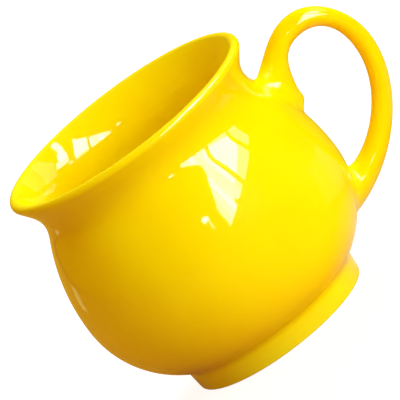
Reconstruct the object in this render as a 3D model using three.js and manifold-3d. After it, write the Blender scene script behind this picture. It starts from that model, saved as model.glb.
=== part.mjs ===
// A round-bellied coffee cup with a flared rim, a luted foot ring and an ear-shaped handle.
// Millimetres, +Z up. The cup stands on the plane z = 0 and its handle points along +X.
import * as THREE from "three";
import { mergeVertices } from "three/addons/utils/BufferGeometryUtils.js";
import Module from "manifold-3d";

const wasm = await Module();
wasm.setup();

// Bowl: heights from the table, radii from the bowl's axis
const cupHeight = 95.8; // table to the top of the lip
const rimRadius = 50; // outside of the lip
const rimFlare = 5.6; // how far the lip stands out past the neck
const lipThickness = 2.7;
const neckDrop = 13.6; // lip top down to the narrowest ring of the neck
const neckFillet = 10.2; // radius of the hollow curve round the neck
const bellyRadius = 55;
const bellyHeight = 41.2; // table to the widest ring
const lowerBellyCurve = 37.9; // radius of the curve under the widest ring
const wallThickness = 3.5;
const floorThickness = 5;

// Foot ring
const footRadius = 35.3; // outside, at the table
const footTaper = 0.9; // how much wider the ring is in the crease under the belly
const footWidth = 5;
const footEdge = 0.6; // rounding of both edges that meet the table

// Handle: a grip that stands off the belly, a crest above it, and two roots on the wall
const fingerGap = 27.2; // belly to the inside of the grip
const gripThickness = 7.1;
const gripWidth = 10;
const gripDrop = 32.3; // lip top down to the grip's outermost point
const crestReach = 14.5; // belly to the top of the loop
const crestDrop = 8.2; // lip top down to the outside of the crest
const crestThickness = 8.1;
const crestWidth = 10.6;
const upperRootDrop = 19.8; // lip top down to the upper end of the upper root
const upperRootLength = 20.5;
const upperRootWidth = 17;
const lowerRootRise = 6.5; // crease above the foot up to the lower end of the lower root
const lowerRootLength = 14.5;
const lowerRootWidth = 15;

// How each edge of the loop leaves the wall, rounds the crest and the grip, and lands again:
// angles in degrees above the horizontal, pulls in millimetres along the edge's direction
const innerEdge = {
  leaveAngle: 47.5,
  leavePull: 7.9,
  crestPullBack: 14.9,
  crestPullOn: 8.4,
  gripPullUp: 8.9,
  gripPullDown: 18,
  landAngle: 4.5,
  landPull: 12.3,
};
const outerEdge = {
  leaveAngle: 33,
  leavePull: 10,
  crestPullBack: 9,
  crestPullOn: 11.5,
  gripPullUp: 11.3,
  gripPullDown: 23,
  landAngle: 10,
  landPull: 23,
};

// Luted joints: a layer of fired slip with a fine gap on each of its faces, worked into a cove outside.
// A root's cove has one radius at the loop's outer edge, one at both sides and one at the inner edge.
const slipThickness = 0.8;
const upperRootCove = { outer: 3.4, sides: 5, inner: 2 };
const lowerRootCove = { outer: 2, sides: 3.6, inner: 2.2 };
const footCove = 3;
const jointGap = 0.3;
const jointDepth = slipThickness + 2 * jointGap;

// Facets
const roundSteps = 56;
const lowerBellySteps = 9;
const upperBellySteps = 7;
const neckSteps = 6;
const lipSteps = 2; // on each of the lip's three arcs
const edgeSteps = 3;
const seatSteps = 3;
const coveSteps = 4;
const sectionSteps = 24;
const loopSteps = [17, 8, 21]; // root to crest, crest to grip, grip to root
const rootCrowding = 1.7; // power by which the sections of the loop crowd towards a root

const glazeYellow = 0xffdc00;
const slipYellow = 0xf2c400;

// Centres and angles of the tangent curves of the wall, in the plane of a profile: x is radius, y is height
const lipRadius = lipThickness / 2;
const neckRadius = rimRadius - rimFlare;
const neckHeight = cupHeight - neckDrop;
const lowerBellyCentre = new THREE.Vector2(bellyRadius - lowerBellyCurve, bellyHeight);
const neckCentre = new THREE.Vector2(neckRadius + neckFillet, neckHeight);
const lipCentre = new THREE.Vector2(rimRadius - lipRadius, cupHeight - lipRadius);

// The shoulder curve is upright at the belly and touches the neck curve, which fixes its radius.
const neckAcross = neckCentre.x - bellyRadius;
const neckUp = neckHeight - bellyHeight;
const upperBellyCurve =
  (neckAcross ** 2 + neckUp ** 2 - neckFillet ** 2) / (2 * (bellyRadius - neckRadius));
const upperBellyCentre = new THREE.Vector2(bellyRadius - upperBellyCurve, bellyHeight);
const shoulderAngle = neckCentre.clone().sub(upperBellyCentre).angle();
const shoulderTop = bellyHeight + upperBellyCurve * Math.sin(shoulderAngle);

// Lean from upright of the straight line that touches the neck curve and the round of the lip.
function flareLean(radiusSum) {
  const across = neckCentre.x - lipCentre.x;
  const up = lipCentre.y - neckCentre.y;
  return Math.atan2(up, across) - Math.acos(radiusSum / Math.hypot(across, up));
}
const outerLean = flareLean(neckFillet + lipRadius);
const innerLean = flareLean(neckFillet + wallThickness - lipRadius);

const floorUnderside = bellyHeight - lowerBellyCurve;
const floorTop = floorUnderside + floorThickness;
const footInside = footRadius - footWidth;
const footTopRadius = footRadius + footTaper;

function arc(centre, radius, from, to, steps) {
  const clockwise = to < from;
  return new THREE.EllipseCurve(centre.x, centre.y, radius, radius, from, to, clockwise).getPoints(steps);
}

// The outside of the bowl from the middle of its underside to the flare's end, grown outwards.
function outerWall(growth) {
  return [
    new THREE.Vector2(0, floorUnderside - growth),
    ...arc(lowerBellyCentre, lowerBellyCurve + growth, -Math.PI / 2, 0, lowerBellySteps),
    ...arc(upperBellyCentre, upperBellyCurve + growth, 0, shoulderAngle, upperBellySteps).slice(1),
    ...arc(neckCentre, neckFillet - growth, Math.PI + shoulderAngle, Math.PI - outerLean, neckSteps).slice(1),
  ];
}

// The inside of the bowl from the flare's end down to the middle of the floor.
function innerWall() {
  const insideRadius = bellyRadius - wallThickness;
  const floorCurve = bellyHeight - floorTop;
  const floorCentre = new THREE.Vector2(insideRadius - floorCurve, bellyHeight);
  return [
    ...arc(neckCentre, neckFillet + wallThickness, Math.PI - innerLean, Math.PI + shoulderAngle, neckSteps),
    ...arc(upperBellyCentre, upperBellyCurve - wallThickness, shoulderAngle, 0, upperBellySteps).slice(1),
    ...arc(floorCentre, floorCurve, 0, -Math.PI / 2, lowerBellySteps).slice(1),
    new THREE.Vector2(0, floorTop),
  ];
}

// Radius of the outside of the bowl at a height between the floor and the neck.
function wallRadiusAt(height) {
  const lower = height < bellyHeight;
  const centre = lower ? lowerBellyCentre : upperBellyCentre;
  const curve = lower ? lowerBellyCurve : upperBellyCurve;
  return centre.x + Math.sqrt(curve ** 2 - (height - bellyHeight) ** 2);
}

// Distance from the outside of the bowl, of a point beside its belly, shoulder or neck.
function wallGap(point) {
  const place = new THREE.Vector2(Math.hypot(point.x, point.y), point.z);
  if (place.y < bellyHeight) {
    return place.distanceTo(lowerBellyCentre) - lowerBellyCurve;
  }
  if (place.y > shoulderTop && place.x < neckCentre.x) {
    return neckFillet - place.distanceTo(neckCentre);
  }
  return place.distanceTo(upperBellyCentre) - upperBellyCurve;
}

function toSolid(geometry) {
  const bare = geometry.clone();
  bare.deleteAttribute("normal");
  bare.deleteAttribute("uv");
  const merged = mergeVertices(bare);
  const vertProperties = new Float32Array(merged.attributes.position.array);
  const triVerts = new Uint32Array(merged.index.array);
  return new wasm.Manifold(new wasm.Mesh({ numProp: 3, vertProperties, triVerts }));
}

function toGeometry(solid) {
  const mesh = solid.getMesh();
  const geometry = new THREE.BufferGeometry();
  geometry.setAttribute("position", new THREE.BufferAttribute(mesh.vertProperties, 3));
  geometry.setIndex(new THREE.BufferAttribute(mesh.triVerts, 1));
  geometry.computeVertexNormals();
  return geometry;
}

// Turns a profile of radius and height about the upright axis.
function revolve(profile) {
  return new THREE.LatheGeometry(profile, roundSteps).rotateX(Math.PI / 2);
}

// The wall's outside, the round of the lip by way of its outermost and topmost points, and the wall's inside.
function bowlGeometry() {
  const lip = [
    ...arc(lipCentre, lipRadius, -outerLean, 0, lipSteps),
    ...arc(lipCentre, lipRadius, 0, Math.PI / 2, lipSteps).slice(1),
    ...arc(lipCentre, lipRadius, Math.PI / 2, Math.PI - innerLean, lipSteps).slice(1),
  ];
  return revolve([...outerWall(0), ...lip, ...innerWall()]);
}

// The bowl with its mouth closed and its outside grown: the tool that fits other pieces to the wall.
function bowlEnvelope(growth) {
  const lipSide = lipCentre.x + lipRadius + growth;
  const top = cupHeight + growth;
  return toSolid(
    revolve([
      ...outerWall(growth),
      new THREE.Vector2(lipSide, lipCentre.y),
      new THREE.Vector2(lipSide, top),
      new THREE.Vector2(0, top),
    ]),
  );
}

// Angle, seen from the centre of the lower belly curve, and height of the point on a grown curve at a radius.
function seatAngle(curve, radius) {
  return -Math.acos((radius - lowerBellyCentre.x) / curve);
}
function seatHeight(curve, radius) {
  return lowerBellyCentre.y + curve * Math.sin(seatAngle(curve, radius));
}

// A ring with a flat, round-edged underside and a top that follows the underside of the belly.
function footRingGeometry() {
  const seat = lowerBellyCurve + jointDepth;
  const outline = [
    ...arc(new THREE.Vector2(footInside + footEdge, footEdge), footEdge, Math.PI, 1.5 * Math.PI, edgeSteps),
    ...arc(new THREE.Vector2(footRadius - footEdge, footEdge), footEdge, -Math.PI / 2, 0, edgeSteps),
    ...arc(lowerBellyCentre, seat, seatAngle(seat, footTopRadius), seatAngle(seat, footInside), seatSteps),
  ];
  return revolve([...outline, outline[0].clone()]);
}

// The slip between the foot ring and the belly. Its cove is an arc that touches the foot's side and the
// belly's underside, both a joint gap away: its centre lies on the side's line moved out, where a circle
// round the belly curve's centre crosses it.
function footSlipGeometry() {
  const seat = lowerBellyCurve + jointDepth;
  const upper = lowerBellyCurve + jointGap;
  const lower = upper + slipThickness;
  const outside = footTopRadius + jointGap;
  const side = new THREE.Vector2(footTaper, seatHeight(seat, footTopRadius) - footEdge).normalize();
  const outwards = new THREE.Vector2(side.y, -side.x);
  const start = new THREE.Vector2(footRadius, footEdge).addScaledVector(outwards, footCove + jointGap);
  const offset = start.clone().sub(lowerBellyCentre);
  const half = offset.dot(side);
  const along = -half - Math.sqrt(half ** 2 - offset.lengthSq() + (upper + footCove) ** 2);
  const centre = start.addScaledVector(side, along);
  const belly = lowerBellyCentre.clone().sub(centre).angle();
  const outline = [
    ...arc(lowerBellyCentre, lower, seatAngle(lower, footInside), seatAngle(lower, outside), seatSteps),
    ...arc(centre, footCove, outwards.negate().angle(), belly, coveSteps),
    ...arc(lowerBellyCentre, upper, belly - Math.PI, seatAngle(upper, footInside), seatSteps).slice(1),
  ];
  return revolve([...outline, outline[0].clone()]);
}

// One edge of the handle's loop as three Bezier spans: wall to crest, crest to grip, grip to wall.
function loopEdge(edge, start, crest, grip, end) {
  const leave = THREE.MathUtils.degToRad(edge.leaveAngle);
  const land = THREE.MathUtils.degToRad(edge.landAngle);
  const along = (from, x, y) => new THREE.Vector2(from.x + x, from.y + y);
  const outOfRoot = along(start, edge.leavePull * Math.cos(leave), edge.leavePull * Math.sin(leave));
  const intoRoot = along(end, edge.landPull * Math.cos(land), edge.landPull * Math.sin(land));
  const beforeCrest = along(crest, -edge.crestPullBack, 0);
  const pastCrest = along(crest, edge.crestPullOn, 0);
  const aboveGrip = along(grip, 0, edge.gripPullUp);
  const belowGrip = along(grip, 0, -edge.gripPullDown);
  return [
    new THREE.CubicBezierCurve(start, outOfRoot, beforeCrest, crest),
    new THREE.CubicBezierCurve(crest, pastCrest, aboveGrip, grip),
    new THREE.CubicBezierCurve(grip, belowGrip, intoRoot, end),
  ];
}

const wallPoint = (height) => new THREE.Vector2(wallRadiusAt(height), height);
const crestOut = bellyRadius + crestReach;
const gripHeight = cupHeight - gripDrop;
const gripInside = bellyRadius + fingerGap;
const upperRootTop = cupHeight - upperRootDrop;
const upperRootEnd = upperRootTop - upperRootLength;
const lowerRootStart = seatHeight(lowerBellyCurve, footTopRadius) + lowerRootRise;
const lowerRootEnd = lowerRootStart + lowerRootLength;
const gapMiddle = (upperRootEnd + lowerRootEnd) / 2;
const innerLoop = loopEdge(
  innerEdge,
  wallPoint(upperRootEnd),
  new THREE.Vector2(crestOut, cupHeight - crestDrop - crestThickness),
  new THREE.Vector2(gripInside, gripHeight),
  wallPoint(lowerRootEnd),
);
const outerLoop = loopEdge(
  outerEdge,
  wallPoint(upperRootTop),
  new THREE.Vector2(crestOut, cupHeight - crestDrop),
  new THREE.Vector2(gripInside + gripThickness, gripHeight),
  wallPoint(lowerRootStart),
);

// Width across the loop: it falls fast from a root, changes evenly over the crest, and rises fast at a root.
const loopWidths = [
  (t) => crestWidth + (upperRootWidth - crestWidth) * (1 - t) ** 3,
  (t) => THREE.MathUtils.lerp(crestWidth, gripWidth, t),
  (t) => gripWidth + (lowerRootWidth - gripWidth) * t ** 3,
];

// Places along the loop's three spans, from 0 at a span's start to 1 at its end.
const loopPlaces = [
  (share) => share ** rootCrowding,
  (share) => share,
  (share) => 1 - (1 - share) ** rootCrowding,
];

// An oval section between the two edges of the loop, as a closed ring of points. Each point is moved
// outwards by growth(point, turn), where turn is 0 at the outer edge. The growth is measured square to an
// edge, so it is longer along a section that crosses the edge at a slant.
function loopSection(span, t, growth) {
  const inner = innerLoop[span].getPoint(t);
  const outer = outerLoop[span].getPoint(t);
  const reach = outer.clone().sub(inner).multiplyScalar(0.5);
  const middle = inner.clone().add(reach);
  const away = reach.clone().normalize();
  const innerSlant = Math.abs(away.cross(innerLoop[span].getTangent(t)));
  const outerSlant = Math.abs(away.cross(outerLoop[span].getTangent(t)));
  const halfWidth = loopWidths[span](t) / 2;
  return Array.from({ length: sectionSteps }, (_, k) => {
    const turn = (2 * Math.PI * k) / sectionSteps;
    const slant = Math.cos(turn) > 0 ? outerSlant : innerSlant;
    const grown = (amount) => {
      const lift = (reach.length() + amount / slant) * Math.cos(turn);
      const across = (halfWidth + amount) * Math.sin(turn);
      return new THREE.Vector3(middle.x + away.x * lift, across, middle.y + away.y * lift);
    };
    return grown(growth(grown(0), turn));
  });
}

// The loop as a solid, with one more section inside the wall beyond each root for the fitting cut.
function loopSolid(growth) {
  const sections = loopSteps.flatMap((steps, span) =>
    Array.from({ length: steps }, (_, i) => loopSection(span, loopPlaces[span](i / steps), growth)),
  );
  sections.push(loopSection(loopSteps.length - 1, 1, growth));
  const inwards = (ring) => ring.map((p) => new THREE.Vector3(p.x - 2 * wallThickness, p.y, p.z));
  return toSolid(loft([inwards(sections[0]), ...sections, inwards(sections.at(-1))]));
}

// How far a root's cove stands off the loop's skin: a quarter circle that leaves the skin one radius above
// the wall and the wall one radius off the skin.
function coveGrowth(point, turn) {
  const cove = point.z > gapMiddle ? upperRootCove : lowerRootCove;
  const lift = Math.cos(turn);
  const radius = cove.sides * Math.sin(turn) ** 2 + (lift > 0 ? cove.outer : cove.inner) * lift ** 2;
  const left = THREE.MathUtils.clamp(radius - wallGap(point), 0, radius);
  return radius - Math.sqrt(radius ** 2 - left ** 2);
}

// Skins a row of rings of equally many points and closes both ends with a fan.
function loft(rings) {
  const count = rings[0].length;
  const points = rings.flat();
  const faces = [];
  for (let row = 0; row + 1 < rings.length; row += 1) {
    for (let k = 0; k < count; k += 1) {
      const a = row * count + k;
      const b = row * count + ((k + 1) % count);
      faces.push(a, a + count, b, b, a + count, b + count);
    }
  }
  const last = (rings.length - 1) * count;
  for (let k = 1; k + 1 < count; k += 1) {
    faces.push(0, k, k + 1, last, last + k + 1, last + k);
  }
  const geometry = new THREE.BufferGeometry().setFromPoints(points);
  geometry.setIndex(faces);
  return geometry;
}

// The halves of space above and below the middle of the finger gap, as large boxes.
function halfSpace(side) {
  const size = 4 * (cupHeight + gripInside);
  return toSolid(new THREE.BoxGeometry(size, size, size).translate(0, 0, gapMiddle + (side * size) / 2));
}

// The slip at the roots is the coved loop, less the bowl and the handle with a joint gap round each.
const handleSolid = loopSolid(() => 0).subtract(bowlEnvelope(jointDepth));
const handleRoom = loopSolid(() => jointGap).subtract(bowlEnvelope(jointGap + slipThickness));
const rootSlips = loopSolid(coveGrowth).subtract(bowlEnvelope(jointGap)).subtract(handleRoom);

function addPiece(group, name, geometry, color, roughness) {
  const mesh = new THREE.Mesh(geometry, new THREE.MeshStandardMaterial({ color, roughness, metalness: 0 }));
  mesh.name = name;
  group.add(mesh);
}

const cup = new THREE.Group();
addPiece(cup, "bowl", bowlGeometry(), glazeYellow, 0.1);
addPiece(cup, "foot_ring", footRingGeometry(), glazeYellow, 0.1);
addPiece(cup, "foot_slip_joint", footSlipGeometry(), slipYellow, 0.2);
addPiece(cup, "handle", toGeometry(handleSolid), glazeYellow, 0.1);
addPiece(cup, "upper_slip_joint", toGeometry(rootSlips.intersect(halfSpace(1))), slipYellow, 0.2);
addPiece(cup, "lower_slip_joint", toGeometry(rootSlips.intersect(halfSpace(-1))), slipYellow, 0.2);

// The origin lies on the table under the middle of the cup and its handle taken together.
cup.position.x = -(fingerGap + gripThickness) / 2;

const coffeeCup = new THREE.Group();
coffeeCup.add(cup);

export default coffeeCup;
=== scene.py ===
import bpy
import numpy as np
from mathutils import Matrix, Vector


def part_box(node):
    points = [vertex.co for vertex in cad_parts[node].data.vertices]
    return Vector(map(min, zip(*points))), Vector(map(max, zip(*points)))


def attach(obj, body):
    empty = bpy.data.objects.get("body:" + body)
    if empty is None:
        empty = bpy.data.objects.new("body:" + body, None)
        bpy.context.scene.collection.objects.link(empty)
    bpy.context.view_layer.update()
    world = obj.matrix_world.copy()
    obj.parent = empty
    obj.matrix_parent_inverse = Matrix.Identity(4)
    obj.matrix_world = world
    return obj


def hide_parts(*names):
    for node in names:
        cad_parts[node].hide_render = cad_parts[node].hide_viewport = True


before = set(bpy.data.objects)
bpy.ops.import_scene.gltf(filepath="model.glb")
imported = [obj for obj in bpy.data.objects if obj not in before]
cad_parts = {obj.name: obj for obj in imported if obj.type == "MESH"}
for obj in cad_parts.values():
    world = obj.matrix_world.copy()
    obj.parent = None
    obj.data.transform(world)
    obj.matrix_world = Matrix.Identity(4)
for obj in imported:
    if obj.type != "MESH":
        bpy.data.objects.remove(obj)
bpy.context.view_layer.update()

# Bowl: one wall of glazed earthenware, thrown as a round belly, a narrow neck and a flared rim.
# The wall is turned to an even thickness and its lip is rounded with a wet sponge.
# The foot ring and the handle are luted to its outside before the glaze goes over all of them.
mm = 0.001
bowl_low, bowl_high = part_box("bowl")
belly_radius = (bowl_high[1] - bowl_low[1]) / 2
cup_axis = (bowl_low[0] + bowl_high[0]) / 2
lip_top = bowl_high[2]
floor_underside = bowl_low[2]
belly_height = 41.2 * mm
rim_radius = 50.2 * mm
lip_round = 1.8 * mm
neck_radius = 44.5 * mm
neck_height = lip_top - 13.6 * mm
neck_hollow = 10.2 * mm
wall = 3.5 * mm
floor_thickness = 5 * mm
turns = 288
wall_steps = 92
wall_ease = 2.0 * mm
floor_middle = 4 * mm
sharp_edge = np.radians(50)
# The glaze's colours when thin, even and pooled; the thin and pooled ones also give painted light and
# painted shade.
thin_glaze_painted_light = (1.0, 0.90, 0.02, 1)
even_glaze = (1.0, 0.83, 0.0, 1)
pooled_glaze_painted_shade = (0.92, 0.50, 0.0, 1)

# Centres of the tangent curves of the wall, as radius from the cup's axis and height above the table.
under_curve = belly_height - floor_underside
under_centre = np.array([belly_radius - under_curve, belly_height])
neck_centre = np.array([neck_radius + neck_hollow, neck_height])
lip_centre = np.array([rim_radius - lip_round, lip_top - lip_round])
neck_offset = neck_centre - np.array([belly_radius, belly_height])
shoulder_curve = (neck_offset @ neck_offset - neck_hollow**2) / (2 * (belly_radius - neck_radius))
shoulder_centre = np.array([belly_radius - shoulder_curve, belly_height])
shoulder_angle = np.arctan2(*(neck_centre - shoulder_centre)[::-1])
shoulder_top = shoulder_centre[1] + shoulder_curve * np.sin(shoulder_angle)
inside_curve = under_curve - floor_thickness
inside_centre = np.array([belly_radius - wall - inside_curve, belly_height])
floor_top = belly_height - inside_curve


def flare_lean(reach):
    """Lean from upright of the straight line that touches the neck curve and the round of the lip.

    It is the direction of the two centres, less the angle whose cosine is the reach over their distance. The
    reach is the sum of the radii outside the cup, where the line crosses between the two circles, and their
    difference inside, where both lie on one side of it.
    """
    across, up = (neck_centre - lip_centre) * np.array([1, -1])
    return np.arctan2(up, across) - np.arccos(reach / np.hypot(across, up))


def arc(centre, radius, start, end, count):
    """Points of a circle's arc: centre plus radius times (cosine, sine) of evenly spaced angles."""
    angle = np.linspace(start, end, count)
    return centre + radius * np.stack([np.cos(angle), np.sin(angle)], axis=-1)


def level(start, end, height):
    """Eight evenly spaced points of a level line, from one radius to another at a height."""
    return np.stack([np.linspace(start, end, 8), np.full(8, height)], axis=-1)


def eased(outline, ease):
    """The same line with its bends eased into each other, by a bell curve of that width along its length.

    It smooths the line's heading, which an arc changes evenly, so an arc stays as it is and only the places
    where one bend follows another move. Past its ends the heading turns on as it does in the last steps. The
    small shift that is left at the end is spread along the line.
    """
    end_steps = 9
    bell_reach = 4 * ease
    lengths = np.linalg.norm(np.diff(outline, axis=0), axis=1)
    along = np.concatenate([[0], np.cumsum(lengths)])
    step = along[-1] / wall_steps
    places = np.linspace(0, along[-1], wall_steps + 1)
    even = np.stack([np.interp(places, along, side) for side in outline.T], axis=-1)
    across, up = np.diff(even, axis=0).T
    heading = np.unwrap(np.arctan2(up, across))
    beyond = np.arange(1, int(bell_reach / step) + 1)
    before = heading[0] - beyond[::-1] * (heading[end_steps] - heading[0]) / end_steps
    after = heading[-1] + beyond * (heading[-1] - heading[-1 - end_steps]) / end_steps
    bell = np.exp(-0.5 * (np.concatenate([-beyond[::-1], [0], beyond]) * step / ease) ** 2)
    smooth = np.convolve(np.concatenate([before, heading, after]), bell / bell.sum(), mode="valid")
    way = np.cumsum(np.stack([np.cos(smooth), np.sin(smooth)], axis=-1) * step, axis=0)
    line = even[0] + np.vstack([[0, 0], way])
    return line + (even[-1] - line[-1]) * np.linspace(0, 1, wall_steps + 1)[:, None]


def turned(outline):
    """Rows of a turned surface: each outline point (radius, height) swept once round the cup's axis."""
    angle = np.linspace(0, 2 * np.pi, turns, endpoint=False)
    radius = outline[:, :1]
    height = np.broadcast_to(outline[:, 1:], (len(outline), turns))
    return np.stack([cup_axis + radius * np.cos(angle), radius * np.sin(angle), height], axis=-1)


def skinned(name, rows, ends=None):
    """A closed mesh over rows of points, each row a closed loop joined to the next by quads.

    With two end points, a fan of triangles closes the first and the last row. Without, the last row is
    joined to the first again, as on a ring.
    """
    count, around = rows.shape[:2]
    loops = np.arange(count * around).reshape(count, around)
    points = rows.reshape(-1, 3)
    here, beyond = loops[:-1], loops[1:]
    if ends is None:
        here, beyond = loops, np.roll(loops, -1, axis=0)
    quads = np.stack([here, np.roll(here, -1, axis=1), np.roll(beyond, -1, axis=1), beyond], axis=-1)
    faces = quads.reshape(-1, 4).tolist()
    if ends is not None:
        first = np.full(around, len(points))
        faces += np.stack([np.roll(loops[0], -1), loops[0], first], axis=-1).tolist()
        faces += np.stack([loops[-1], np.roll(loops[-1], -1), first + 1], axis=-1).tolist()
        points = np.vstack([points, ends])
    mesh = bpy.data.meshes.new(name)
    mesh.from_pydata(points.tolist(), [], faces)
    mesh.shade_smooth()
    mesh.set_sharp_from_angle(angle=sharp_edge)
    piece = bpy.data.objects.new(name, mesh)
    bpy.context.scene.collection.objects.link(piece)
    return piece


def glaze_depth_and_painted_light(piece, depth):
    """Stores how thick the glaze lies at each point: 0 is even, 1 has pooled to a darker amber, -1 has run
    thin and pale. The values also carry painted shade (darker) and painted light (paler).
    """
    values = np.zeros(len(piece.data.vertices), dtype=np.float32)
    values[: depth.size] = depth.ravel()
    layer = piece.data.attributes.new("glaze_depth_and_painted_light", "FLOAT", "POINT")
    layer.data.foreach_set("value", values)


def near(distance, width):
    """A smooth bump: 1 at no distance, falling off as a bell curve of that width."""
    return np.exp(-((distance / width) ** 2))


def yellow_glaze(name):
    """Glossy yellow glaze, on a faintly rippled surface: amber where it pools, paler where it runs thin.
    Where the stored depth carries painted shade it is amber too, and where it carries painted light it is
    paler.
    """
    material = bpy.data.materials.new(name)
    material.use_nodes = True
    nodes, links = material.node_tree.nodes, material.node_tree.links
    shader = nodes["Principled BSDF"]
    place = nodes.new("ShaderNodeTexCoord")
    depth = nodes.new("ShaderNodeAttribute")
    depth.attribute_name = "glaze_depth_and_painted_light"

    clouds = nodes.new("ShaderNodeTexNoise")
    clouds.inputs["Scale"].default_value = 38
    clouds.inputs["Detail"].default_value = 3
    links.new(place.outputs["Object"], clouds.inputs["Vector"])

    uneven = nodes.new("ShaderNodeMapRange")
    uneven.inputs["From Min"].default_value = 0.3
    uneven.inputs["From Max"].default_value = 0.7
    uneven.inputs["To Min"].default_value = -0.16
    uneven.inputs["To Max"].default_value = 0.16
    links.new(clouds.outputs["Fac"], uneven.inputs["Value"])
    thickness_and_painted_light = nodes.new("ShaderNodeMath")
    links.new(depth.outputs["Fac"], thickness_and_painted_light.inputs[0])
    links.new(uneven.outputs["Result"], thickness_and_painted_light.inputs[1])

    colour = nodes.new("ShaderNodeValToRGB")
    stops = colour.color_ramp.elements
    stops[0].position = 0.0
    stops[0].color = thin_glaze_painted_light
    stops[1].position = 1.0
    stops[1].color = pooled_glaze_painted_shade
    even = stops.new(0.42)
    even.color = even_glaze
    spread = nodes.new("ShaderNodeMapRange")
    spread.inputs["From Min"].default_value = -1
    spread.inputs["From Max"].default_value = 1.4
    links.new(thickness_and_painted_light.outputs["Value"], spread.inputs["Value"])
    links.new(spread.outputs["Result"], colour.inputs["Fac"])

    gloss = nodes.new("ShaderNodeMapRange")
    gloss.inputs["To Min"].default_value = 0.03
    gloss.inputs["To Max"].default_value = 0.07
    links.new(clouds.outputs["Fac"], gloss.inputs["Value"])

    ripple = nodes.new("ShaderNodeTexNoise")
    ripple.inputs["Scale"].default_value = 95
    ripple.inputs["Detail"].default_value = 1
    links.new(place.outputs["Object"], ripple.inputs["Vector"])
    relief = nodes.new("ShaderNodeBump")
    relief.inputs["Strength"].default_value = 1.0
    relief.inputs["Distance"].default_value = 0.02 * mm
    links.new(ripple.outputs["Fac"], relief.inputs["Height"])

    shader.inputs["IOR"].default_value = 1.5
    links.new(colour.outputs["Color"], shader.inputs["Base Color"])
    links.new(gloss.outputs["Result"], shader.inputs["Roughness"])
    links.new(relief.outputs["Normal"], shader.inputs["Normal"])
    return material


def finished(piece, node, material):
    """Paints a piece, and puts it in the place of its CAD node on the cup's one body."""
    piece.data.materials.append(material)
    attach(piece, "root")
    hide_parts(node)


outer_lean = flare_lean(neck_hollow + lip_round)
inner_lean = flare_lean(neck_hollow + wall - lip_round)
quarter = np.pi / 2
lip = arc(lip_centre, lip_round, -outer_lean, np.pi - inner_lean, 26)
outer_wall = eased(np.vstack([
    arc(shoulder_centre, shoulder_curve, 0, shoulder_angle, 90),
    arc(neck_centre, neck_hollow, np.pi + shoulder_angle, np.pi - outer_lean, 60)[1:],
    lip[:1],
]), wall_ease)
inner_wall = eased(np.vstack([
    lip[-1:],
    arc(neck_centre, neck_hollow + wall, np.pi - inner_lean, np.pi + shoulder_angle, 60),
    arc(shoulder_centre, shoulder_curve - wall, shoulder_angle, 0, 90)[1:],
]), wall_ease)
bowl_outline = np.vstack([
    level(floor_middle, under_centre[0], floor_underside)[:-1],
    arc(under_centre, under_curve, -quarter, 0, 56)[:-1],
    outer_wall[:-1],
    lip,
    inner_wall[1:],
    arc(inside_centre, inside_curve, 0, -quarter, 50)[1:],
    level(inside_centre[0], floor_middle, floor_top)[1:],
])
bowl_ends = np.array([[cup_axis, 0, floor_underside], [cup_axis, 0, floor_top]])
bowl = skinned("glazed_bowl", turned(bowl_outline), bowl_ends)

# Painted shade: the glaze is made darker, as if thicker, in the foot's crease, the neck and the bottom. On
# the lip's crown it is paler, partly glaze that runs thin on the edge and partly a painted highlight.
foot_crease = np.array([36.6, 8.6]) * mm
lip_crown = lip_centre + lip_round * np.array([-0.3, 0.95])
bowl_painted_light_and_shade = (
    0.1 * near(np.linalg.norm(bowl_outline - foot_crease, axis=1), 6 * mm)
    + 0.3 * near(bowl_outline[:, 1] - neck_height, 8 * mm)
    + 0.4 * near(bowl_outline[:, 1] - floor_top, 5 * mm)
    - 0.7 * near(np.linalg.norm(bowl_outline - lip_crown, axis=1), 1.8 * mm)
)
glaze_depth_and_painted_light(bowl, np.repeat(bowl_painted_light_and_shade, turns))
cup_glaze = yellow_glaze("yellow_gloss_glaze")
finished(bowl, "bowl", cup_glaze)

# Foot ring: a short ring of the same clay, turned by itself and luted under the belly.
# It flares a little towards the belly, and its standing edge is rounded and wiped free of glaze.
foot_low, foot_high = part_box("foot_ring")
foot_taper = 0.9 * mm
foot_width = 5 * mm
foot_edge = 0.6 * mm
foot_top_radius = (foot_high[1] - foot_low[1]) / 2
foot_radius = foot_top_radius - foot_taper
foot_inside = foot_radius - foot_width
foot_sink = 0.4 * mm
wiped_height = 0.12 * mm
wiped_blur = 0.1 * mm
dark_clay = (0.50, 0.37, 0.24, 1)
buff_clay = (0.78, 0.66, 0.50, 1)
clay_roughness = 0.85


def under_belly(radius):
    """Height of the underside of the belly at a radius: its curve's centre less the chord's half height."""
    return under_centre[1] - np.sqrt(under_curve**2 - (radius - under_centre[0]) ** 2)


def straight(start, end, count):
    """Evenly spaced points from start to end, without either."""
    return start + (end - start) * np.linspace(0, 1, count + 2)[1:-1, None]


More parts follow.
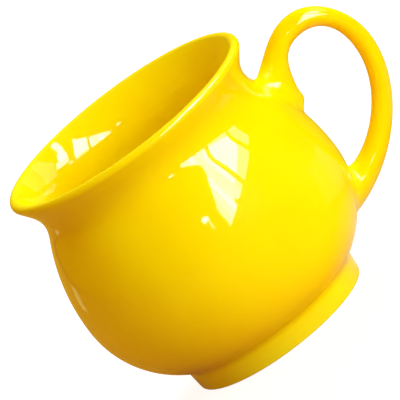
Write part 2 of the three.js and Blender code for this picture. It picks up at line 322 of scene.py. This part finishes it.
def wiped_clean(material):
    """Shows gritty bare clay instead of the glaze, by the share that the piece's bare_clay value gives."""
    nodes, links = material.node_tree.nodes, material.node_tree.links
    shader = nodes["Principled BSDF"]
    glaze_colour = shader.inputs["Base Color"].links[0].from_socket
    glaze_gloss = shader.inputs["Roughness"].links[0].from_socket
    bare = nodes.new("ShaderNodeAttribute")
    bare.attribute_name = "bare_clay"

    place = nodes.new("ShaderNodeTexCoord")
    grit = nodes.new("ShaderNodeTexNoise")
    grit.inputs["Scale"].default_value = 1800
    grit.inputs["Detail"].default_value = 4
    links.new(place.outputs["Object"], grit.inputs["Vector"])
    clay = nodes.new("ShaderNodeValToRGB")
    dark, pale = clay.color_ramp.elements
    dark.position = 0.35
    dark.color = dark_clay
    pale.position = 0.6
    pale.color = buff_clay
    links.new(grit.outputs["Fac"], clay.inputs["Fac"])

    covered = nodes.new("ShaderNodeMix")
    covered.data_type = "RGBA"
    links.new(bare.outputs["Fac"], covered.inputs["Factor"])
    links.new(glaze_colour, covered.inputs["A"])
    links.new(clay.outputs["Color"], covered.inputs["B"])
    links.new(covered.outputs["Result"], shader.inputs["Base Color"])
    dulled = nodes.new("ShaderNodeMix")
    dulled.inputs["B"].default_value = clay_roughness
    links.new(bare.outputs["Fac"], dulled.inputs["Factor"])
    links.new(glaze_gloss, dulled.inputs["A"])
    links.new(dulled.outputs["Result"], shader.inputs["Roughness"])


foot_outer_top = np.array([foot_top_radius, under_belly(foot_top_radius) + foot_sink])
foot_inner_top = np.array([foot_inside, under_belly(foot_inside) + foot_sink])
foot_bottom_in = arc(np.array([foot_inside + foot_edge, foot_edge]), foot_edge, np.pi, 1.5 * np.pi, 12)
foot_bottom_out = arc(np.array([foot_radius - foot_edge, foot_edge]), foot_edge, -quarter, 0, 12)
foot_outline = np.vstack([
    foot_bottom_in,
    straight(foot_bottom_in[-1], foot_bottom_out[0], 4),
    foot_bottom_out,
    straight(foot_bottom_out[-1], foot_outer_top, 12),
    foot_outer_top,
    straight(foot_outer_top, foot_inner_top, 4),
    foot_inner_top,
    straight(foot_inner_top, foot_bottom_in[0], 8),
])
foot_ring = skinned("foot_ring_turned", turned(foot_outline))
# Painted light and shade on the foot: its glaze is made paler all over and again at the rounded bottom edge,
# and darker near the crease, where shade falls.
foot_painted_light_and_shade = 0.6 * near(foot_outline[:, 1] - foot_crease[1], 3 * mm) - 0.5
standing_edge = foot_bottom_out[5]
foot_painted_light_and_shade -= 0.3 * near(np.linalg.norm(foot_outline - standing_edge, axis=1), 1.2 * mm)
glaze_depth_and_painted_light(foot_ring, np.repeat(foot_painted_light_and_shade, turns))
bare_clay = foot_ring.data.attributes.new("bare_clay", "FLOAT", "POINT")
wiped = np.clip((wiped_height - foot_outline[:, 1]) / wiped_blur, 0, 1)
bare_clay.data.foreach_set("value", np.repeat(wiped, turns).astype(np.float32))
foot_glaze = yellow_glaze("yellow_glaze_wiped_foot")
wiped_clean(foot_glaze)
finished(foot_ring, "foot_ring", foot_glaze)

# Slip in the foot's crease: the clay slurry that lutes the ring to the belly, smoothed with a finger.
# It leaves a hollow round between the two, which is painted a little darker: painted shade in the crease,
# given as thicker glaze.
crease_round = 3.0 * mm


def touching_circle(radius):
    """Centre of a circle of that radius that touches the foot's side and the underside of the belly.

    It lies on the foot's side moved outwards by the radius, where the distance to the centre of the belly's
    curve is the sum of both radii: the first root of a quadratic on the way up the foot's side.
    """
    side = foot_outer_top - foot_bottom_out[-1]
    side = side / np.linalg.norm(side)
    start = foot_bottom_out[-1] + radius * np.array([side[1], -side[0]])
    offset = start - under_centre
    half = side @ offset
    along = -half - np.sqrt(half**2 - offset @ offset + (under_curve + radius) ** 2)
    return start + along * side, side


crease_centre, foot_side = touching_circle(crease_round)
to_belly = under_centre - crease_centre
belly_angle = np.arctan2(to_belly[1], to_belly[0])
side_angle = np.arctan2(foot_side[0], -foot_side[1]) % (2 * np.pi)
crease_hollow = arc(crease_centre, crease_round, side_angle, belly_angle, 16)
crease_back = foot_outer_top + np.array([-1.2, 0.2]) * mm
crease_outline = np.vstack([
    crease_hollow,
    straight(crease_hollow[-1], crease_back, 2),
    crease_back,
    straight(crease_back, crease_hollow[0], 2),
])
foot_slip = skinned("foot_crease_slip", turned(crease_outline))
crease_middle = crease_hollow[8]
crease_painted_shade = 0.1 * near(np.linalg.norm(crease_outline - crease_middle, axis=1), 3 * mm)
glaze_depth_and_painted_light(foot_slip, np.repeat(crease_painted_shade, turns))
finished(foot_slip, "foot_slip_joint", cup_glaze)

# Handle: a strap of clay pulled to an oval section and bent into an ear, set on while leather hard.
# It is thick where it leaves the wall, slims over the crest and down the grip, and widens to a low root.
handle_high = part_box("handle")[1]
crest_top = handle_high[2]
crest_thickness = 8.1 * mm
crest_width = 10.6 * mm
crest_out = belly_radius + 14.5 * mm
grip_out = handle_high[0] - cup_axis
grip_thickness = 7.1 * mm
grip_width = 10 * mm
grip_height = lip_top - 32.3 * mm
upper_root = np.array([76.0, 56.3]) * mm
upper_root_width = 12.5 * mm
lower_root = np.array([14.965, 29.465]) * mm
lower_root_width = 15 * mm
around_handle = 72
along_handle = 220
run_in = 0.9
root_sink = 0.55 * wall
search_steps = 1400


def wall_point(height):
    """The point of the bowl's outside at a height, as radius and height.

    Its radius is that of the centre of the shoulder's or the underside's arc, plus the half chord there.
    """
    centre, curve = shoulder_centre, shoulder_curve
    if height < belly_height:
        centre, curve = under_centre, under_curve
    return np.array([centre[0] + np.sqrt(curve**2 - (height - centre[1]) ** 2), height])


def loop_edge(leave, crest, grip, land):
    """Control points of one edge of the loop: three cubic spans, wall to crest, crest to grip, grip to wall.

    leave and land are (height on the wall, angle above the horizontal in degrees, pull); crest is (radius,
    height, pull back, pull on) and grip (radius, height, pull up, pull down). Pulls lie along the edge.
    """
    start, end = wall_point(leave[0]), wall_point(land[0])
    top, side = np.array(crest[:2]), np.array(grip[:2])
    out, back = np.radians(leave[1]), np.radians(land[1])
    start_pull = start + leave[2] * np.array([np.cos(out), np.sin(out)])
    end_pull = end + land[2] * np.array([np.cos(back), np.sin(back)])
    return np.array([
        [start, start_pull, top - np.array([crest[2], 0]), top],
        [top, top + np.array([crest[3], 0]), side + np.array([0, grip[2]]), side],
        [side, side - np.array([0, grip[3]]), end_pull, end],
    ])


inner_edge = loop_edge(
    (upper_root[1], 52, 9.5 * mm),
    (crest_out, crest_top - crest_thickness, 14.2 * mm, 8.4 * mm),
    (grip_out - grip_thickness, grip_height, 8.9 * mm, 18 * mm),
    (lower_root[1], 4.5, 12.3 * mm),
)
outer_edge = loop_edge(
    (upper_root[0], 33, 10 * mm),
    (crest_out, crest_top, 9 * mm, 11.5 * mm),
    (grip_out, grip_height, 11.3 * mm, 23 * mm),
    (lower_root[0], 10, 23 * mm),
)


def bezier(spans, along):
    """Points of a row of cubic spans at a parameter that counts one for each span.

    Within a span t runs from 0 to 1, and its four control points are weighted by the terms of the cube of
    the sum of 1 - t and t.
    """
    span = np.clip(along.astype(int), 0, len(spans) - 1)
    t = (along - span)[..., None]
    p = spans[span]
    bent = 3 * (1 - t) ** 2 * t * p[..., 1, :] + 3 * (1 - t) * t**2 * p[..., 2, :]
    return (1 - t) ** 3 * p[..., 0, :] + bent + t**3 * p[..., 3, :]


# The strap's end was pressed on with the thumb, which left a blunt bulge under the upper root.
thumbed_bulge = np.array([0.8, -0.6]) * mm
bulge_place = 0.19
bulge_spread = 0.08


def loop_surface(along, turn):
    """The handle's skin: ovals between the two edges of the loop, at a place along it and a turn round it.

    The oval reaches from the inner to the outer edge. Its width falls from the upper root to the crest with
    the fourth power of the way that is left, then evenly to the grip, and rises with the cube of the way to
    the lower root. Before 0 and after 3 the ends run on level into the wall, by root_sink for each 1 along.
    """
    kept = np.clip(along, 0, 3)
    inner, outer = bezier(inner_edge, kept), bezier(outer_edge, kept)
    inner = inner + thumbed_bulge * near(kept - bulge_place, bulge_spread)[..., None]
    middle, reach = (inner + outer) / 2, (outer - inner) / 2
    to_crest, to_grip, to_root = np.clip(kept, 0, 1), np.clip(kept - 1, 0, 1), np.clip(kept - 2, 0, 1)
    rising = crest_width + (upper_root_width - crest_width) * (1 - to_crest) ** 4
    over = crest_width + (grip_width - crest_width) * to_grip
    landing = grip_width + (lower_root_width - grip_width) * to_root**3
    width = np.where(kept < 1, rising, np.where(kept < 2, over, landing))
    lift = np.cos(turn)[..., None]
    flat = middle + reach * lift
    sunk = root_sink * np.abs(along - kept)
    return np.stack([cup_axis + flat[..., 0] - sunk, width / 2 * np.sin(turn), flat[..., 1]], axis=-1)


def arc_gap(profile):
    """Distance of points (radius, height) from the arcs of the bowl's outside, and the way out from them.

    It is the distance to the arc's centre less the arc's radius, or the other way round in the neck, whose
    centre lies outside the bowl.
    """
    radius, height = profile[..., 0], profile[..., 1]
    in_neck = (height > shoulder_top) & (radius < neck_centre[0])
    under = height < belly_height
    centre = np.where(under[..., None], under_centre, shoulder_centre)
    centre = np.where(in_neck[..., None], neck_centre, centre)
    curve = np.where(in_neck, -neck_hollow, np.where(under, under_curve, shoulder_curve))
    away = profile - centre
    length = np.linalg.norm(away, axis=-1)
    side = np.sign(curve)
    return side * length - curve, (side / length)[..., None] * away


outer_wall_shift, _ = arc_gap(outer_wall)


def wall_gap(points):
    """Distance of points from the bowl's outside, and the wall's outward normal there.

    It is the distance from the wall's arcs, less how far the eased wall stands off them at that height.
    """
    flat = points[..., :2] - np.array([cup_axis, 0])
    radius = np.hypot(flat[..., 0], flat[..., 1])
    gap, way_out = arc_gap(np.stack([radius, points[..., 2]], axis=-1))
    wall_height = points[..., 2] - way_out[..., 1] * gap
    gap = gap - np.interp(wall_height, outer_wall[:, 1], outer_wall_shift)
    across = (way_out[..., 0] / radius)[..., None] * flat
    return gap, np.concatenate([across, way_out[..., 1:]], axis=-1)


def root_round(turn, outer, sides, inner):
    """Height of the hollow round at a root, from its outer edge by way of its sides to its inner edge.

    The heights at the sides and at the edge are weighted by the squares of the turn's sine and cosine.
    """
    lift = np.cos(turn)
    return sides * np.sin(turn) ** 2 + np.where(lift > 0, outer, inner) * lift**2


def meeting(turn, height, start, end):
    """Where each line along the handle comes down to a height above the wall, as a place along the loop.

    It is the first step from the crest or the grip that lies lower, moved back evenly to that height.
    """
    way = np.linspace(start, end, search_steps)[:, None] * np.ones_like(turn)
    gap, _ = wall_gap(loop_surface(way, np.broadcast_to(turn, way.shape)))
    below = np.argmax(gap < height, axis=0)
    column = np.arange(len(turn))
    high, low = gap[below - 1, column], gap[below, column]
    share = (high - height) / (high - low)
    return way[below - 1, column] * (1 - share) + way[below, column] * share


handle_turn = np.linspace(2 * np.pi, 0, around_handle, endpoint=False)
upper_height = root_round(handle_turn, outer=2.0 * mm, sides=5.0 * mm, inner=0.5 * mm)
lower_height = root_round(handle_turn, outer=2.0 * mm, sides=3.6 * mm, inner=4.2 * mm)
upper_end, crest_place, grip_place, lower_end = -run_in, 1.0, 2.0, 3 + run_in
upper_start = meeting(handle_turn, upper_height, crest_place, upper_end)
lower_start = meeting(handle_turn, lower_height, grip_place, lower_end)
root_steps = np.linspace(0, 1, 6)[:-1, None]
into_upper = upper_end + (upper_start - upper_end) * root_steps
into_lower = lower_start + (lower_end - lower_start) * root_steps[1:]
free = upper_start + (lower_start - upper_start) * np.linspace(0, 1, along_handle)[:, None]
handle_along = np.vstack([into_upper, free, into_lower, np.full((1, around_handle), lower_end)])
handle_rows = loop_surface(handle_along, np.broadcast_to(handle_turn, handle_along.shape))
handle_ends = np.stack([handle_rows[0].mean(axis=0), handle_rows[-1].mean(axis=0)])
handle = skinned("pulled_handle", handle_rows, handle_ends)

# Painted shade on the handle: the glaze is made darker, as if pooled, along the loop's inner edge and on its
# rising part's outer edge, the sides away from the light, and a little on all sides; it is even on the
# grip's outside and fades out near the wall.
rising_place = 0.35
rising_spread = 0.35
handle_gap, _ = wall_gap(handle_rows)
loop_side = np.cos(handle_turn)
rising_part = near(handle_along - rising_place, rising_spread)
outer_edge_painted_shade = 0.8 * rising_part - 0.25 * (1 - rising_part)
edge_painted_shade = np.where(loop_side > 0, outer_edge_painted_shade * loop_side**4, loop_side**2)
glaze_depth_and_painted_light(handle, (edge_painted_shade + 0.25) * (1 - near(handle_gap, 6 * mm)))
finished(handle, "handle", cup_glaze)

# Slip at the handle's two roots: the luting slurry, worked with a finger into a hollow round.
# It runs from the strap's skin to the wall all the way round each root, under the same glaze.
collar_steps = 18
collar_spread = 1.15
collar_back = 1.0 * mm
collar_tuck = 0.8 * mm
least_fall = 0.4
edge_sink = 0.005 * mm


def root_collar(name, node, along, height, inwards):
    """A ring of slip between the handle's skin and the wall, hollow on its open side.

    Each line is a quadratic curve: from the skin, towards the point where the skin's own direction meets
    the wall, to a point further out along the wall by a little more than the round's height. The ring's
    back runs inside the wall and the root.
    """
    nudge = 0.002 * inwards
    skin = loop_surface(along, handle_turn)
    inner_skin = loop_surface(along + nudge, handle_turn)
    direction = inner_skin - skin
    direction /= np.linalg.norm(direction, axis=-1)[:, None]
    round_skin = np.roll(skin, -1, axis=0) - np.roll(skin, 1, axis=0)
    outward = np.cross(round_skin, direction) * inwards
    outward /= np.linalg.norm(outward, axis=-1)[:, None]
    _, normal = wall_gap(skin)
    fall = np.clip(-(direction * normal).sum(axis=-1), least_fall, 1)
    corner = skin + direction * (height / fall)[:, None]
    gap, normal = wall_gap(corner)
    corner -= normal * gap[:, None]
    spread = outward - normal * (outward * normal).sum(axis=-1)[:, None]
    spread /= np.linalg.norm(spread, axis=-1)[:, None]
    edge = corner + spread * (collar_spread * height)[:, None]
    gap, normal = wall_gap(edge)
    edge -= normal * (gap + edge_sink)[:, None]
    t = ((1 - np.cos(np.linspace(0, np.pi, collar_steps))) / 2)[:, None, None]
    hollow = (1 - t) ** 2 * skin + 2 * t * (1 - t) * corner + t**2 * edge
    buried_edge = edge - normal * collar_back
    buried_root = corner - normal * collar_back - spread * collar_tuck
    rows = np.concatenate([hollow, buried_edge[None], buried_root[None]])[::inwards]
    collar = skinned(name, rows)
    gap, _ = wall_gap(rows)
    # The slip is painted a little darker away from the wall: painted shade that blends into the handle's.
    glaze_depth_and_painted_light(collar, 0.15 * (1 - near(gap, 6 * mm)))
    finished(collar, node, cup_glaze)


root_collar("upper_root_slip", "upper_slip_joint", upper_start, upper_height, inwards=-1)
root_collar("lower_root_slip", "lower_slip_joint", lower_start, lower_height, inwards=1)

# Floor: a wide sheet of pale paper that the cup stands on, lit to white.
# It gives the cup little light back, and keeps a soft shadow round the foot, which stands a hair above it.
floor_span = 8.0
floor_height = -0.05 * mm
floor_lines = 9
paper_glow = 0.88
paper_sheet = (0.3, 0.3, 0.3, 1)
paper_bounce = (0.50, 0.27, 0.0, 1)
floor_steps = np.linspace(-floor_span / 2, floor_span / 2, floor_lines)
floor_x, floor_y = np.meshgrid(floor_steps, floor_steps)
floor_points = np.stack([floor_x, floor_y, np.full_like(floor_x, floor_height)], axis=-1).reshape(-1, 3)
floor_index = np.arange(floor_lines**2).reshape(floor_lines, floor_lines)
floor_quads = np.stack(
    [floor_index[:-1, :-1], floor_index[:-1, 1:], floor_index[1:, 1:], floor_index[1:, :-1]], axis=-1
)
floor_mesh = bpy.data.meshes.new("paper_floor")
floor_mesh.from_pydata(floor_points.tolist(), [], floor_quads.reshape(-1, 4).tolist())
paper_floor = bpy.data.objects.new("paper_floor", floor_mesh)
bpy.context.scene.collection.objects.link(paper_floor)


def white_paper(mirrored_share, painted_light_share, painted_light_place, painted_light_reach):
    """White to the camera, and by a share in mirrored light; dim and warm in the light that it scatters.

    The mirrored share rises evenly to its brightest at a place beside the cup, from a reach all round it: a
    painted pool of light on the paper, which only the glaze's reflection shows.
    """
    material = bpy.data.materials.new("white_paper")
    material.use_nodes = True
    nodes, links = material.node_tree.nodes, material.node_tree.links
    nodes.remove(nodes["Principled BSDF"])
    ray = nodes.new("ShaderNodeLightPath")
    place = nodes.new("ShaderNodeTexCoord")
    centred = nodes.new("ShaderNodeMapping")
    centred.inputs["Location"].default_value = [-side / painted_light_reach for side in painted_light_place]
    centred.inputs["Scale"].default_value = [1 / painted_light_reach] * 3
    links.new(place.outputs["Object"], centred.inputs["Vector"])
    patch = nodes.new("ShaderNodeTexGradient")
    patch.gradient_type = "SPHERICAL"
    links.new(centred.outputs["Vector"], patch.inputs["Vector"])
    share = nodes.new("ShaderNodeMapRange")
    share.inputs["To Min"].default_value = mirrored_share
    share.inputs["To Max"].default_value = painted_light_share
    links.new(patch.outputs["Fac"], share.inputs["Value"])
    mirrored = nodes.new("ShaderNodeMath")
    mirrored.operation = "MULTIPLY_ADD"
    links.new(ray.outputs["Is Glossy Ray"], mirrored.inputs[0])
    links.new(share.outputs["Result"], mirrored.inputs[1])
    links.new(ray.outputs["Is Camera Ray"], mirrored.inputs[2])
    shown = nodes.new("ShaderNodeMath")
    links.new(mirrored.outputs["Value"], shown.inputs[0])
    links.new(ray.outputs["Is Transmission Ray"], shown.inputs[1])
    shown.use_clamp = True
    glow = nodes.new("ShaderNodeEmission")
    glow.inputs["Color"].default_value = (1, 1, 1, 1)
    glow.inputs["Strength"].default_value = paper_glow
    sheet = nodes.new("ShaderNodeBsdfDiffuse")
    sheet.inputs["Color"].default_value = paper_sheet
    white = nodes.new("ShaderNodeAddShader")
    links.new(glow.outputs["Emission"], white.inputs[0])
    links.new(sheet.outputs["BSDF"], white.inputs[1])
    dim = nodes.new("ShaderNodeBsdfDiffuse")
    dim.inputs["Color"].default_value = paper_bounce
    either = nodes.new("ShaderNodeMixShader")
    links.new(shown.outputs["Value"], either.inputs["Fac"])
    links.new(dim.outputs["BSDF"], either.inputs[1])
    links.new(white.outputs["Shader"], either.inputs[2])
    links.new(either.outputs["Shader"], nodes["Material Output"].inputs["Surface"])
    return material


# A painted pool of light on the paper beside the cup, on the handle's side, that only the glaze's reflection
# shows.
painted_light_on_paper = (cup_axis + 47 * mm, 15 * mm, 0)
paper = white_paper(mirrored_share=0.03, painted_light_share=0.55, painted_light_place=painted_light_on_paper, painted_light_reach=50 * mm)
floor_mesh.materials.append(paper)

# Light: soft cool daylight from the camera's right and from behind, in a dim warm room.
# The glaze mirrors the panes of a window that runs close beside the cup, on the handle's side.
# Two low cards show only in the gloss, two lamps lying on the table lift the shade round the foot, and a
# painted pool of light on the paper shows in the gloss.
daylight = (0.81, 1.0, 1.0)
lamp_distance = 1.5
lamp_span = 0.7


def area_lamp(name, width, height, radiance, colour):
    """A flat lamp, unseen by the camera: its power is pi times its radiance and its area."""
    data = bpy.data.lights.new(name, "AREA")
    data.shape = "RECTANGLE"
    data.size, data.size_y = width, height
    data.energy = np.pi * radiance * width * height
    data.color = colour
    lamp = bpy.data.objects.new(name, data)
    lamp.visible_camera = False
    bpy.context.scene.collection.objects.link(lamp)
    return lamp


def aim_at_cup(lamp, azimuth, elevation, distance):
    """Sets a lamp off from the belly's middle, turned back to it.

    The angles are in degrees: the azimuth from -Y towards +X, and the elevation upwards.
    """
    round_cup, up = np.radians(azimuth), np.radians(elevation)
    way = np.array([np.sin(round_cup) * np.cos(up), -np.cos(round_cup) * np.cos(up), np.sin(up)])
    lamp.location = np.array([cup_axis, 0, belly_height]) + distance * way
    lamp.rotation_euler = (np.pi / 2 - up, 0, round_cup)


def soft_lamp(name, azimuth, elevation, radiance):
    """A square lamp turned to the cup, which lights it but doesn't show in its gloss."""
    lamp = area_lamp(name, lamp_span, lamp_span, radiance, daylight)
    aim_at_cup(lamp, azimuth, elevation, lamp_distance)
    lamp.visible_glossy = False


soft_lamp("daylight_front_low", azimuth=32, elevation=12, radiance=6.8)
soft_lamp("daylight_front_high", azimuth=40, elevation=38, radiance=4.7)
soft_lamp("daylight_behind", azimuth=160, elevation=38, radiance=12)
soft_lamp("daylight_right", azimuth=112, elevation=5, radiance=3.2)


def table_glow(name, place, width, depth, radiance, colour):
    """A lamp face up on the table, at a place from the cup's axis, which doesn't show in the gloss."""
    lamp = area_lamp(name, width, depth, radiance, colour)
    lamp.location = (cup_axis + place[0], place[1], 1 * mm)
    lamp.rotation_euler = (np.pi, 0, 0)
    lamp.visible_glossy = False


warm_light = (1.0, 0.66, 0.4)
table_glow("glow_before_foot", (0.04, -0.10), width=0.16, depth=0.10, radiance=0.38, colour=warm_light)
table_glow("glow_by_crease", (0.052, -0.050), width=0.06, depth=0.04, radiance=0.55, colour=warm_light)

window_distance = 230 * mm
card_distance = 105 * mm
window_light = (1.0, 0.98, 0.95)


def window_pane(name, along, upright, radiance, distance=window_distance):
    """An upright pane on the handle's side that only the gloss shows.

    It lies between two places along the window, towards the camera, and two heights above the table.
    """
    lamp = area_lamp(name, upright[1] - upright[0], along[1] - along[0], radiance, window_light)
    lamp.location = (cup_axis + distance, -sum(along) / 2, sum(upright) / 2)
    lamp.rotation_euler = (0, np.pi / 2, 0)
    lamp.visible_diffuse = False


window_pane(
    "low_card", along=(-0.028, 0.012), upright=(0.010, 0.042), radiance=0.22, distance=card_distance
)
window_pane(
    "low_card_edge", along=(-0.028, 0.038), upright=(0.0, 0.042), radiance=0.13, distance=card_distance
)
window_pane("pane_by_handle_haze", along=(-0.110, -0.020), upright=(0.160, 0.280), radiance=1.2)
window_pane("pane_beyond_handle_haze", along=(-0.230, -0.110), upright=(0.170, 0.260), radiance=0.4)
window_pane("pane_by_handle_foot", along=(-0.008, 0.075), upright=(0.203, 0.255), radiance=13)
window_pane("pane_by_handle", along=(0.010, 0.066), upright=(0.255, 0.310), radiance=20)
window_pane("pane_by_handle_top", along=(0.022, 0.053), upright=(0.310, 0.362), radiance=18)
window_pane("pane_low_corner", along=(0.068, 0.106), upright=(0.155, 0.192), radiance=4.5)
window_pane("pane_side", along=(0.125, 0.265), upright=(0.187, 0.420), radiance=20)
window_pane("pane_side_foot", along=(0.125, 0.265), upright=(0.152, 0.187), radiance=6)
window_pane("pane_front_edge", along=(0.302, 0.345), upright=(0.190, 0.405), radiance=20)
window_pane("pane_front_edge_foot", along=(0.302, 0.345), upright=(0.158, 0.190), radiance=8)
window_pane("pane_front_veiled", along=(0.345, 0.440), upright=(0.158, 0.405), radiance=13)
window_pane("pane_front_over_sill", along=(0.440, 0.510), upright=(0.185, 0.405), radiance=14)
window_pane("pane_front_clear", along=(0.510, 0.640), upright=(0.158, 0.405), radiance=20)
window_pane("pane_front_hazy", along=(0.652, 0.800), upright=(0.158, 0.405), radiance=14)
window_pane("pane_front_end", along=(0.800, 1.150), upright=(0.158, 0.400), radiance=10)


def mirrored_lamp(lamp, azimuth, elevation, distance=lamp_distance):
    """Turns a small lamp to the cup, which only the gloss shows."""
    aim_at_cup(lamp, azimuth, elevation, distance)
    lamp.visible_diffuse = False


gap_light = (0.85, 1.0, 0.45)
lamp_beside_camera = area_lamp(
    "lamp_beside_camera", width=0.125, height=0.070, radiance=20, colour=window_light
)
mirrored_lamp(lamp_beside_camera, azimuth=-0.4, elevation=17.1)
lamp_stand = area_lamp("lamp_stand", width=0.026, height=0.140, radiance=9, colour=window_light)
mirrored_lamp(lamp_stand, azimuth=0.9, elevation=13.2)
bright_gap = area_lamp("bright_gap_behind", width=0.045, height=0.042, radiance=0.6, colour=gap_light)
mirrored_lamp(bright_gap, azimuth=-138, elevation=-3, distance=0.38)

room_colour = (0.58, 0.34, 0.01, 1)
room = bpy.data.worlds.new("dim_room")
room.use_nodes = True
room_light = room.node_tree.nodes["Background"]
room_light.inputs["Color"].default_value = room_colour
room_light.inputs["Strength"].default_value = 1.0
bpy.context.scene.world = room

# Camera: a long lens in front that looks a little down into the cup.
# It is rolled, so that the cup leans in the picture.
picture_pixels = 400
pixels_per_metre = 2810.0
camera_distance = 3.0
camera_rise = np.radians(14.05)
camera_turn = np.radians(5.0)
camera_roll = np.radians(37.5)
aim_aside = 4.84 * mm
aim_height = 54.99 * mm
level_right = np.array([np.cos(camera_turn), -np.sin(camera_turn), 0])
backwards = np.array([
    -np.sin(camera_turn) * np.cos(camera_rise),
    -np.cos(camera_turn) * np.cos(camera_rise),
    np.sin(camera_rise),
])
level_up = np.cross(backwards, level_right)
picture_right = level_right * np.cos(camera_roll) - level_up * np.sin(camera_roll)
picture_up = level_right * np.sin(camera_roll) + level_up * np.cos(camera_roll)
aim = np.array([cup_axis, 0, aim_height]) + aim_aside * level_right
stand = aim + camera_distance * backwards
pose = np.eye(4)
pose[:3] = np.stack([picture_right, picture_up, backwards, stand], axis=-1)
lens = bpy.data.cameras.new("long_lens")
lens.sensor_width = 36
lens.lens = pixels_per_metre * camera_distance * lens.sensor_width / picture_pixels
camera = bpy.data.objects.new("long_lens", lens)
camera.matrix_world = Matrix(pose.tolist())
bpy.context.scene.collection.objects.link(camera)
bpy.context.scene.camera = camera

bpy.context.scene.view_settings.view_transform = "Standard"
